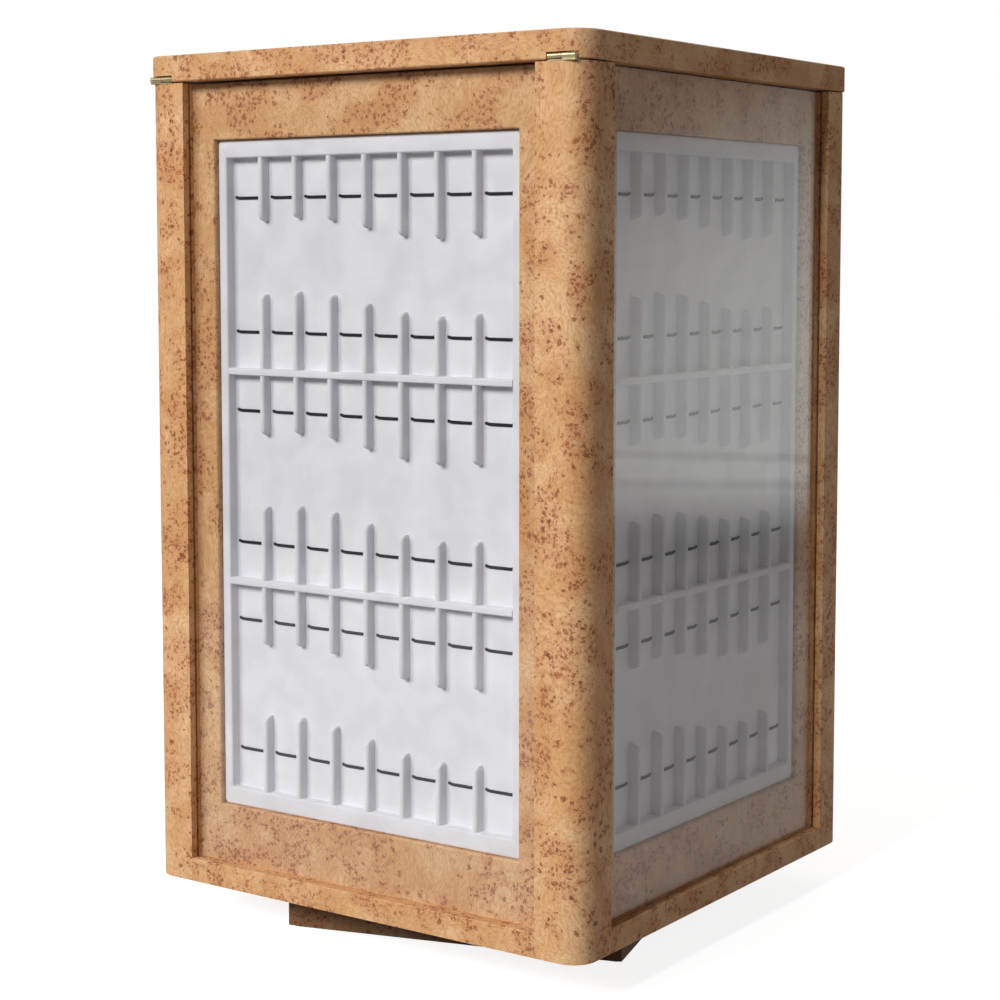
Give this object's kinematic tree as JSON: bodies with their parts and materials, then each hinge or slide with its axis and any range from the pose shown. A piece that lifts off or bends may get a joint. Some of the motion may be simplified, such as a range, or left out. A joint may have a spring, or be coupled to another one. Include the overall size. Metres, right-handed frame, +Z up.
{
  "type": "rotating display stand",
  "caption": "Square column display case in burl veneer that turns on a low plinth, with glazed faces over suede pen trays with elastic straps, and a hinged lid.",
  "frame": {"origin": "on the floor below the middle of the plinth, on the turntable's axis", "axes": "+Z up along the turntable's axis; the front face, which carries the lid's hinges, looks along -Y and the picture's other face along +X"},
  "size_m": [0.3826, 0.3826, 0.6375],
  "materials": {
    "burl_veneer": "satin lacquered burl veneer",
    "board": "plain board",
    "suede": "pale grey suede over board",
    "elastic": "black covered elastic",
    "felt": "dark felt",
    "glass": "clear float glass with ground edges",
    "brass": "satin brass",
    "steel": "zinc plated",
    "nylon": "plain nylon"
  },
  "bodies": {
    "base": {"base_plinth": "burl_veneer", "base_felt": "felt", "turntable_lower_plate": "steel", "turntable_glide_ring": "nylon", "turntable_pivot": "steel", "plinth_screws": "steel"},
    "cabinet": {"corner_post_front_right": "burl_veneer", "corner_post_back_right": "burl_veneer", "corner_post_back_left": "burl_veneer", "corner_post_front_left": "burl_veneer", "bottom_rail_front": "burl_veneer", "bottom_rail_right": "burl_veneer", "bottom_rail_back": "burl_veneer", "bottom_rail_left": "burl_veneer", "glass_pane_front": "glass", "glass_pane_right": "glass", "glass_pane_back": "glass", "glass_pane_left": "glass", "inner_frame_front": "burl_veneer", "inner_frame_right": "burl_veneer", "inner_frame_back": "burl_veneer", "inner_frame_left": "burl_veneer", "tray_front": "suede", "tray_right": "suede", "tray_back": "suede", "tray_left": "suede", "tray_bar_lower_front": "suede", "tray_bar_lower_right": "suede", "tray_bar_lower_back": "suede", "tray_bar_lower_left": "suede", "tray_bar_upper_front": "suede", "tray_bar_upper_right": "suede", "tray_bar_upper_back": "suede", "tray_bar_upper_left": "suede", "tray_fins_front": "suede", "tray_fins_right": "suede", "tray_fins_back": "suede", "tray_fins_left": "suede", "elastic_straps_front": "elastic", "elastic_straps_right": "elastic", "elastic_straps_back": "elastic", "elastic_straps_left": "elastic", "bottom_board": "board", "core_top_board": "board", "lid_pads": "felt", "turntable_upper_plate": "steel", "deck_screws": "steel", "hinge_lower_leaf_left": "brass", "hinge_pin_left": "brass", "hinge_lower_leaf_right": "brass", "hinge_pin_right": "brass"},
    "lid": {"lid_board": "burl_veneer", "hinge_upper_leaf_left": "brass", "hinge_upper_leaf_right": "brass"}
  },
  "joints": [
    {"name": "turntable_spin", "type": "hinge", "parent": "base", "child": "cabinet", "pos_m": [0, 0, 0.027], "axis": [0, 0, 1], "continuous": true},
    {"name": "lid_hinge", "type": "hinge", "parent": "cabinet", "child": "lid", "pos_m": [0, -0.1892, 0.6206], "axis": [1, 0, 0], "range_deg": [0, 95]}
  ]
}
